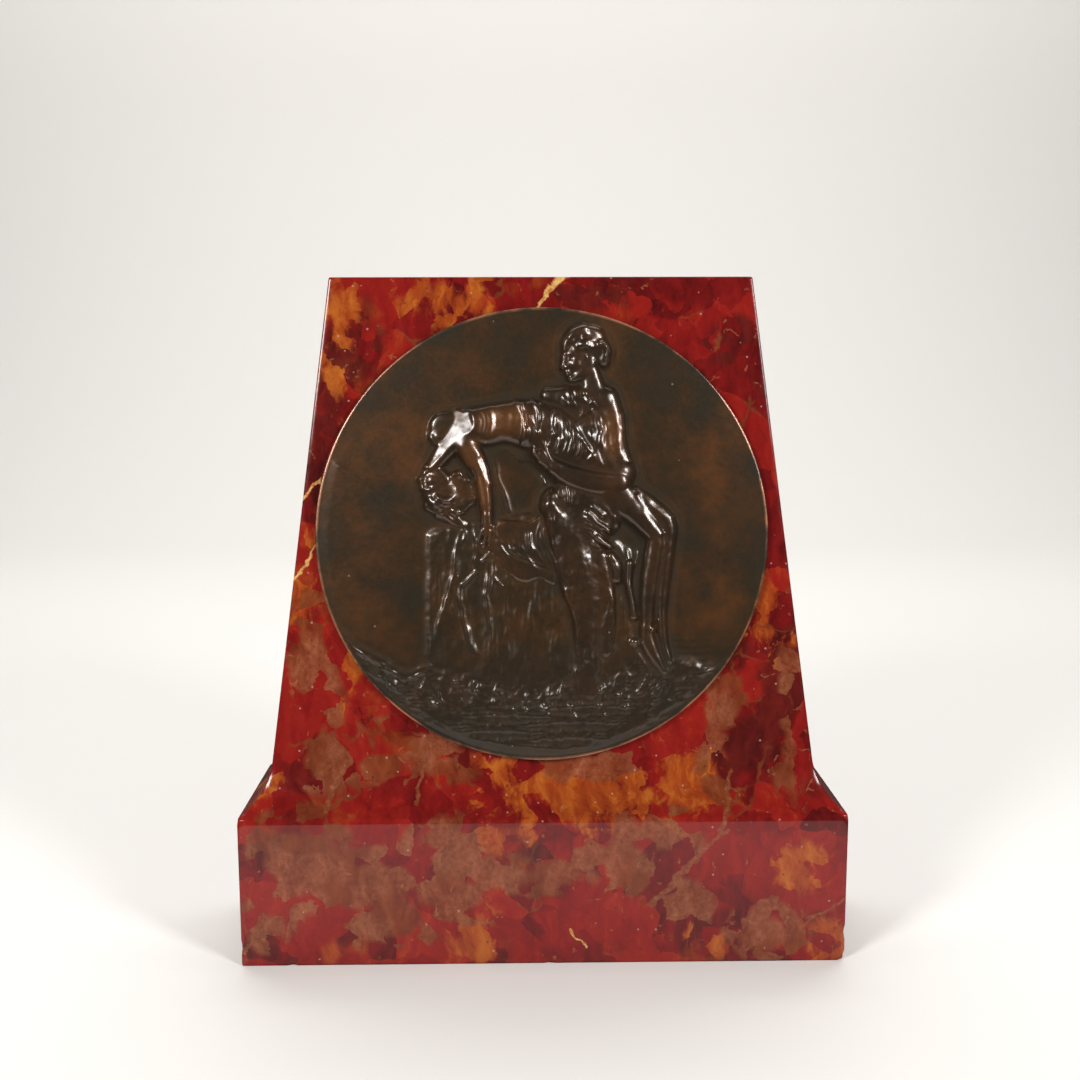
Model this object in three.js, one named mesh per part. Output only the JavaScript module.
// A round bronze relief plaque on a polished red stone stand.
//
// The stand is one block: an upright that tapers on its front and sides, a cove that spreads from
// it into the plinth, and a flat upright back. The plaque is a round casting laid on the sloping
// front. Its relief shows a seated draped figure who holds a limp one across the lap, on a rock
// beside water.
//
// Millimetres, +Z up, the front faces -Y, and the origin is under the middle of the plinth.

import * as THREE from 'three';

// The stand
const HEIGHT = 327;
const WIDTH = 290;
const DEPTH = 84;
const PLINTH_HEIGHT = 73;
const BATTER = THREE.MathUtils.degToRad(7.1);
const COVE_RADIUS = 33;
const COVE_LIP_ANGLE = THREE.MathUtils.degToRad(57);
const COVE_STEPS = 12;

// The plaque
const PLAQUE_DIAMETER = 216.6;
const PLAQUE_THICKNESS = 3.2;
const RELIEF_DEPTH = 7;
const PLAQUE_ABOVE_COVE = 0.6;
const SEAT_GAP = 0.3;
const GRID_COLUMNS = 60;
const GRID_ROWS = 72;
const COLUMN_CROWDING = 0.5;
const ROW_CROWDING = 0.2;

const PLAQUE_RADIUS = PLAQUE_DIAMETER / 2;

// The relief's places and widths are hundredths of the plaque's radius, measured right and up from
// its centre. Its heights are hundredths of the relief's depth above the plaque's ground.
const WALL_SLOPE = 12;
const FOOT = 0.25;
const SQUARENESS = 2.7;

const mix = (a, b, share) => a + (b - a) * share;
const clamp = (value) => Math.min(Math.max(value, 0), 1);

function stone() {
  return new THREE.MeshStandardMaterial({ color: 0x8c1f14, roughness: 0.25, metalness: 0 });
}

function bronze() {
  return new THREE.MeshStandardMaterial({ color: 0x3d2a1a, roughness: 0.4, metalness: 0.9 });
}

// How far the front and sides stand back from the plinth at each level, from the floor to the top
function standProfile() {
  const levels = [[0, 0], [PLINTH_HEIGHT, 0]];
  const run = (angle) => COVE_RADIUS * (Math.cos(angle) - Math.cos(COVE_LIP_ANGLE));
  const rise = (angle) => COVE_RADIUS * (Math.sin(COVE_LIP_ANGLE) - Math.sin(angle));
  for (let step = 1; step <= COVE_STEPS; step++) {
    const angle = mix(COVE_LIP_ANGLE, BATTER, step / COVE_STEPS);
    levels.push([PLINTH_HEIGHT + rise(angle), run(angle)]);
  }
  const [coveTop, coveRun] = levels[levels.length - 1];
  levels.push([HEIGHT, coveRun + (HEIGHT - coveTop) * Math.tan(BATTER)]);
  return levels;
}

// One oblong for each level: the front and both sides stand back, and the back stays upright
function standGeometry(levels) {
  const positions = [];
  const triangles = [];
  for (const [z, inset] of levels) {
    const side = WIDTH / 2 - inset;
    const front = -DEPTH / 2 + inset;
    positions.push(-side, front, z, side, front, z, side, DEPTH / 2, z, -side, DEPTH / 2, z);
  }
  for (let level = 0; level < levels.length - 1; level++) {
    for (let corner = 0; corner < 4; corner++) {
      const a = level * 4 + corner;
      const b = level * 4 + (corner + 1) % 4;
      triangles.push(a, b, b + 4, a, b + 4, a + 4);
    }
  }
  const top = (levels.length - 1) * 4;
  triangles.push(0, 2, 1, 0, 3, 2, top, top + 1, top + 2, top, top + 2, top + 3);
  return closedGeometry(positions, triangles);
}

function closedGeometry(positions, triangles) {
  const geometry = new THREE.BufferGeometry();
  geometry.setAttribute('position', new THREE.Float32BufferAttribute(positions, 3));
  geometry.setIndex(triangles);
  geometry.computeVertexNormals();
  return geometry;
}

// Height over a rounded form at a distance from its axis, from crest to foot, and down its side
function dome(distance, radius, crest) {
  const profile = Math.sqrt(1 - Math.min(distance / radius, 1) ** SQUARENESS);
  return crest * (FOOT + (1 - FOOT) * profile) - WALL_SLOPE * Math.max(distance - radius, 0);
}

// The higher of two heights, with a hollow of the given size where they meet
function join(a, b, hollow) {
  const near = Math.max(hollow - Math.abs(a - b), 0) / hollow;
  return Math.max(a, b) + near * near * hollow / 4;
}

// A smooth run of points through the given ones, each a list of numbers
function curve(stops, stepsBetween = 4) {
  const points = [];
  const last = stops.length - 1;
  for (let i = 0; i < last; i++) {
    const [p0, p1, p2, p3] = [Math.max(i - 1, 0), i, i + 1, Math.min(i + 2, last)].map((k) => stops[k]);
    for (let step = 0; step < stepsBetween; step++) {
      const t = step / stepsBetween;
      points.push(p1.map((value, n) => value + 0.5 * t * (p2[n] - p0[n]
        + t * (2 * p0[n] - 5 * value + 4 * p2[n] - p3[n]
        + t * (3 * (value - p2[n]) + p3[n] - p0[n])))));
    }
  }
  points.push(stops[last]);
  return points;
}

// Calls visit with the distance to each stretch of a path, and how far along that stretch
function alongPath(path, u, v, visit) {
  for (let i = 0; i < path.length - 1; i++) {
    const [ax, ay] = path[i];
    const [bx, by] = path[i + 1];
    const length2 = (bx - ax) ** 2 + (by - ay) ** 2;
    const t = clamp(((u - ax) * (bx - ax) + (v - ay) * (by - ay)) / length2);
    visit(Math.hypot(u - mix(ax, bx, t), v - mix(ay, by, t)), i, t);
  }
}

// A rounded body along a line of stops, each [right, up, radius, crest]
function limb(stops) {
  const path = curve(stops);
  return (u, v) => {
    let height = -Infinity;
    alongPath(path, u, v, (distance, i, t) => {
      const radius = mix(path[i][2], path[i + 1][2], t);
      const crest = mix(path[i][3], path[i + 1][3], t);
      height = Math.max(height, dome(distance, radius, crest));
    });
    return height;
  };
}

// An oval body, turned anticlockwise by degrees
function mass([x, y], [rx, ry], crest, degrees = 0) {
  const angle = THREE.MathUtils.degToRad(degrees);
  const radius = Math.min(rx, ry);
  return (u, v) => {
    const along = (u - x) * Math.cos(angle) + (v - y) * Math.sin(angle);
    const across = (v - y) * Math.cos(angle) - (u - x) * Math.sin(angle);
    return dome(Math.hypot(along / rx, across / ry) * radius, radius, crest);
  };
}

// A flat-topped area inside a closed outline, falling away over its edge
function terrace(outline, top, edge) {
  const ring = [...outline, outline[0]];
  return (u, v) => {
    let nearest = Infinity;
    let inside = false;
    alongPath(ring, u, v, (distance) => { nearest = Math.min(nearest, distance); });
    for (let i = 0; i < outline.length; i++) {
      const [ax, ay] = ring[i];
      const [bx, by] = ring[i + 1];
      if ((ay > v) !== (by > v) && u < ax + (bx - ax) * (v - ay) / (by - ay)) inside = !inside;
    }
    const depth = inside ? nearest : -nearest;
    return depth < -edge ? -Infinity : top * clamp(0.5 + depth / (2 * edge));
  };
}

// A raised crease along a line, which fades towards both ends
function crease(stops, width, height) {
  const path = curve(stops);
  return (u, v) => {
    let raised = 0;
    alongPath(path, u, v, (distance, i, t) => {
      const share = (i + t) / (path.length - 1);
      const taper = Math.min(1, 5 * share + 0.2, 5 * (1 - share) + 0.2);
      const across = Math.max(1 - (distance / width) ** 2, 0);
      raised = Math.max(raised, height * taper * across ** 1.5);
    });
    return raised;
  };
}

// Creases spread evenly between a first and a last line
function pleats(first, last, count, width, height) {
  return Array.from({ length: count }, (_, n) => {
    const share = n / (count - 1);
    const line = first.map((stop, k) => stop.map((value, m) => mix(value, last[k][m], share)));
    return crease(line, width, height);
  });
}

// A plain head in profile. Its own places run from the chin at 0 to the crown at 1, face to the left
function head([x, y], size, degrees, crest, mirrored = false) {
  const angle = THREE.MathUtils.degToRad(degrees);
  const side = mirrored ? -1 : 1;
  const spot = (across, up) => {
    const [dx, dy] = [side * across * size, (up - 0.5) * size];
    const right = x + dx * Math.cos(angle) - dy * Math.sin(angle);
    return [right, y + dx * Math.sin(angle) + dy * Math.cos(angle)];
  };
  const oval = (across, up, rx, ry, share) => (
    mass(spot(across, up), [rx * size, ry * size], crest * share, degrees));
  const bar = (stops) => limb(stops.map(([across, up, radius, share]) => (
    [...spot(across, up), radius * size, crest * share])));
  return {
    skull: oval(0.06, 0.62, 0.4, 0.36, 0.92),
    face: oval(-0.13, 0.42, 0.24, 0.34, 0.93),
    jaw: bar([[0.1, 0.3, 0.14, 0.92], [-0.08, 0.15, 0.12, 0.92], [-0.26, 0.09, 0.08, 0.88]]),
    nose: bar([[-0.34, 0.54, 0.06, 0.84], [-0.4, 0.36, 0.06, 0.84]]),
    chin: oval(-0.3, 0.1, 0.08, 0.07, 0.89),
    hair: oval(0.12, 0.72, 0.36, 0.3, 1.03),
    roll: bar([[-0.28, 0.64, 0.07, 0.96], [-0.1, 0.9, 0.1, 1.05], [0.14, 0.96, 0.09, 1.02]]),
    knot: oval(0.36, 0.5, 0.17, 0.21, 1),
    nape: oval(0.36, 0.3, 0.12, 0.14, 0.9),
  };
}

// The relief is carved from back to front: solids are set on what lies behind them, and creases
// are raised on what is there already
const carving = [];
const set = (hollow, ...forms) => forms.forEach((form) => {
  carving.push((height, u, v) => join(height, form(u, v), hollow));
});
const raise = (...forms) => forms.forEach((form) => {
  carving.push((height, u, v) => height + form(u, v));
});

function carveLandscape() {
  const hill = [[-107, 41], [-92, 32], [-72, 17], [-51, 0], [-49, -59], [-107, -46]];
  const rock = [
    [-51, 0], [-43, 4], [-19, 8], [-1, 9], [21, 6], [39, -10], [41, -47], [48, -61], [43, -73], [8, -75],
    [-28, -73], [-47, -59], [-51, -47],
  ];
  const shore = [
    [-107, -40], [-88, -43], [-82, -50], [-71, -56], [-61, -62], [-32, -62], [-10, -67], [25, -62],
    [43, -57], [61, -56], [80, -59], [109, -47], [96, -117], [-98, -117],
  ];
  set(6, terrace(hill, 4, 1), terrace(rock, 17, 2), terrace(shore, 17, 3));
  const ripple = (y, reach) => crease([[-reach, y], [-reach / 3, y - 1], [reach / 2, y]], 1.8, 8);
  raise(ripple(-79, 42), ripple(-84, 40), ripple(-89, 36), ripple(-94, 28));
  raise(crease([[-92, -42], [-82, -51], [-72, -57], [-62, -63], [-46, -57]], 2.4, 9));
  raise(...pleats([[-47, -6], [-47, -50]], [[-30, -24], [-30, -64]], 4, 1.6, 6));
  raise(...pleats([[-14, -26], [-15, -68]], [[8, -30], [10, -70]], 4, 1.6, 6));
}

function carveHangingCloth() {
  const swag = [
    [-22, 4], [-19, 7], [-12, 6], [-4, 7], [1, 11], [6, 9], [6, -22], [-9, -21], [-16, -17], [-21, -10],
    [-25, -5],
  ];
  const lines = [
    [[-34, 4], [-38, -13], [-43, -33], [-50, -53]], [[-36, -21], [-34, -40], [-28, -54]],
    [[-29, 3], [-29, -16]], [[-23, -9], [-24, -34], [-23, -59]],
  ];
  const strap = [[-23, 33], [-20, 32], [-17, 23], [-14, 14], [-13, 7], [-21, 6], [-22, 18]];
  set(8, terrace(strap, 9, 2), terrace(swag, 31, 2.6));
  raise(...lines.map((line) => crease(line, 2.2, 12)));
  raise(...pleats([[-21, 3], [-18, -11], [-11, -19]], [[0, 8], [-1, -8], [5, -20]], 4, 1.6, 7));
}

function carveLyingFigure() {
  const { skull, face, jaw, nose, chin, hair } = head([-45.6, 20.6], 21, 172, 54, true);
  const farShoulder = mass([-43.6, 48.6], [6.4, 5.4], 34, 30);
  const curls = mass([-38.6, 18.2], [8.6, 8.8], 31);
  const locks = limb([[-48, 12, 4, 34], [-42, 9, 4, 32], [-35, 6, 3, 26]]);
  const throat = limb([
    [-34.6, 48.1, 7.1, 64], [-38.6, 42.4, 5.5, 60], [-43.5, 36.3, 4.2, 56], [-48.4, 29.7, 3.3, 52],
  ]);
  const chest = mass([-31, 47.6], [6.6, 8.2], 77, -24);
  const trunk = limb([
    [-30.2, 48.1, 8.4, 70], [-16.5, 49.5, 9.1, 72], [-5.4, 48.6, 11.1, 75], [7.8, 44.2, 12.4, 76],
    [21.1, 36.7, 12.4, 76], [30.8, 27.1, 10.6, 76],
  ]);
  const arm = limb([
    [-33.8, 39.8, 5.8, 72], [-30.2, 34.1, 5.1, 73], [-27.1, 28, 4, 70], [-25.8, 20.5, 3.7, 66],
    [-24.5, 8.6, 2.8, 58], [-25, 1.6, 3.2, 52], [-25.5, -4.5, 2.2, 42],
  ]);
  const farLeg = limb([
    [36.9, 17.4, 5.4, 58], [46.6, 12.4, 4.9, 60], [55.2, 4.8, 4.2, 60], [55.4, -5, 3.6, 52],
    [54, -18.1, 3.2, 48], [52.8, -33.5, 2.6, 42], [53.6, -46.6, 2.2, 38], [56.1, -56.3, 1.8, 32],
  ]);
  const nearLeg = limb([
    [28.2, 22.9, 9.2, 76], [37.7, 13.4, 6.9, 76], [44.8, 6.4, 5.8, 77], [49.8, -0.6, 4.6, 78],
    [49.6, -8, 4.6, 70], [47.9, -19, 4.6, 62], [46.5, -31.3, 3.9, 56], [46.3, -41.4, 3.3, 50],
  ]);
  const foot = limb([
    [46.3, -41.4, 3.3, 50], [46.8, -47.5, 3.8, 50], [49.9, -54.5, 3.1, 46], [53.8, -61.1, 1.8, 38],
  ]);
  const heel = mass([40.6, -48], [2.7, 2], 44, -30);
  set(10, farShoulder, curls, locks, skull, face, jaw, nose, chin, hair);
  set(16, farLeg, trunk, chest, throat, arm, nearLeg);
  set(10, foot, heel);
}

function carveWrap() {
  const overWaist = pleats([[-12, 59], [-8, 50], [-9, 38]], [[5, 57], [6, 48], [3, 36]], 4, 1.7, 8);
  const overHips = pleats([[10, 53], [10, 45], [8, 34]], [[22, 38], [21, 34], [19, 30]], 4, 1.6, 7);
  const edge = crease([[-1, 60], [6, 56], [13, 50], [19, 41], [25, 31]], 1.8, 8);
  raise(...overWaist, ...overHips, edge);
}

function carveSeatedFigure() {
  const trunk = limb([[15.8, 57.8, 9.7, 56], [21.1, 48.1, 11.1, 60], [26.4, 33.2, 11.5, 62]]);
  const farShoulder = limb([[3, 61.3, 3.8, 48], [7.8, 60.4, 5.3, 52], [14.5, 59.5, 7.1, 56]]);
  const neck = limb([[20.2, 73.7, 5, 52], [22, 67.4, 5.4, 55], [23.8, 59.5, 7.1, 60]]);
  const upperArm = limb([
    [28.2, 59.5, 6.2, 64], [30.8, 52.1, 5.5, 68], [32.2, 42, 5.1, 70], [34.4, 31.5, 5.3, 74],
  ]);
  const lap = limb([[24.6, 23.6, 14.2, 64], [20.2, 12.6, 16.8, 66], [16.7, 3.8, 15, 66]]);
  const leg = limb([
    [3.8, 12.2, 4.8, 82], [9.2, 1.6, 8, 77], [14.9, -11.5, 11.1, 74], [18, -24.7, 9.7, 70],
    [18.9, -36.6, 6.8, 60], [18.9, -48.8, 6.2, 46], [18.9, -68.6, 6.4, 28],
  ]);
  const farLeg = limb([
    [24.6, -11.5, 6.2, 64], [27.3, -24.7, 5.3, 54], [28.2, -40.1, 4.8, 40], [28.2, -51, 4, 30],
  ]);
  const forearm = limb([
    [33.4, 22.9, 5.8, 86], [23.3, 23.1, 6.2, 88], [13.1, 25.8, 5.3, 86], [5.6, 29.7, 4, 82],
  ]);
  const hand = limb([[6.5, 29.3, 3.8, 82], [2.5, 32.3, 3.5, 80], [-1, 36, 2.4, 72]]);
  set(16, trunk, farShoulder, neck, upperArm, lap, leg, farLeg);
  set(9, ...Object.values(head([17.8, 79.5], 23.5, 14, 64)));
  set(9, forearm, hand);
}

function carveSkirt() {
  const bodice = pleats([[10, 63], [14, 57]], [[25, 62], [25, 54]], 4, 1.6, 6);
  const back = pleats([[19, 51], [20, 37]], [[27, 51], [27, 34]], 3, 1.6, 7);
  const fromKnee = pleats([[1, 11], [0, -5], [4, -18]], [[7, 11], [6, -6], [10, -20]], 3, 1.6, 6);
  const acrossLap = pleats([[18, 12], [28, 4]], [[22, -1], [31, -9]], 4, 1.6, 11);
  const underArm = pleats([[0, 27], [3, 18]], [[15, 19], [17, 9]], 4, 1.6, 7);
  const betweenLegs = pleats([[30, -9], [30, -31], [24, -48]], [[42, -6], [39, -30], [37, -50]], 4, 1.8, 9);
  const hem = pleats([[13, -48], [12, -70]], [[25, -48], [26, -70]], 4, 1.6, 6);
  raise(...bodice, ...back, ...fromKnee, ...acrossLap, ...underArm, ...betweenLegs, ...hem);
}

carveLandscape();
carveHangingCloth();
carveLyingFigure();
carveWrap();
carveSeatedFigure();
carveSkirt();

function reliefHeight(u, v) {
  const height = carving.reduce((reached, cut) => cut(reached, u, v), 0);
  const rim = clamp((99 - Math.hypot(u, v)) / 4);
  return RELIEF_DEPTH * Math.max(height, 0) / 100 * rim;
}

// Crowds the grid's lines towards the middle, where the figures are
const crowd = (share, crowding) => share - crowding * Math.sin(Math.PI * share) / Math.PI;

// A grid stretched over the round front, a straight edge, and a flat back
function plaqueGeometry() {
  const positions = [];
  const triangles = [];
  const at = (column, row) => row * (GRID_COLUMNS + 1) + column;
  for (let row = 0; row <= GRID_ROWS; row++) {
    for (let column = 0; column <= GRID_COLUMNS; column++) {
      const a = crowd(2 * column / GRID_COLUMNS - 1, COLUMN_CROWDING);
      const b = crowd(2 * row / GRID_ROWS - 1, ROW_CROWDING);
      const u = a * Math.sqrt(1 - b * b / 2);
      const v = b * Math.sqrt(1 - a * a / 2);
      const z = PLAQUE_THICKNESS + reliefHeight(100 * u, 100 * v);
      positions.push(PLAQUE_RADIUS * u, PLAQUE_RADIUS * v, z);
    }
  }
  for (let row = 0; row < GRID_ROWS; row++) {
    for (let column = 0; column < GRID_COLUMNS; column++) {
      const [a, b] = [at(column, row), at(column + 1, row)];
      const [c, d] = [at(column + 1, row + 1), at(column, row + 1)];
      triangles.push(a, b, c, a, c, d);
    }
  }
  const edge = [];
  for (let column = 0; column < GRID_COLUMNS; column++) edge.push(at(column, 0));
  for (let row = 0; row < GRID_ROWS; row++) edge.push(at(GRID_COLUMNS, row));
  for (let column = GRID_COLUMNS; column > 0; column--) edge.push(at(column, GRID_ROWS));
  for (let row = GRID_ROWS; row > 0; row--) edge.push(at(0, row));
  const backStart = positions.length / 3;
  for (const index of edge) positions.push(positions[3 * index], positions[3 * index + 1], 0);
  const centre = positions.length / 3;
  positions.push(0, 0, 0);
  edge.forEach((front, n) => {
    const next = (n + 1) % edge.length;
    const [back, backNext] = [backStart + n, backStart + next];
    triangles.push(front, back, backNext, front, backNext, edge[next], back, centre, backNext);
  });
  return closedGeometry(positions, triangles);
}

const levels = standProfile();
const stand = new THREE.Mesh(standGeometry(levels), stone());
stand.name = 'stone_stand';

const plaque = new THREE.Mesh(plaqueGeometry(), bronze());
plaque.name = 'relief_plaque';
plaque.position.set(0, PLAQUE_RADIUS + PLAQUE_ABOVE_COVE, SEAT_GAP);

// The sloping front as a plane: its foot is where the cove ends
const [coveTop, coveRun] = levels[levels.length - 2];
const front = new THREE.Group();
front.position.set(0, -DEPTH / 2 + coveRun, coveTop);
front.rotation.x = Math.PI / 2 - BATTER;
front.add(plaque);

const part = new THREE.Group();
part.add(stand, front);

export default part;
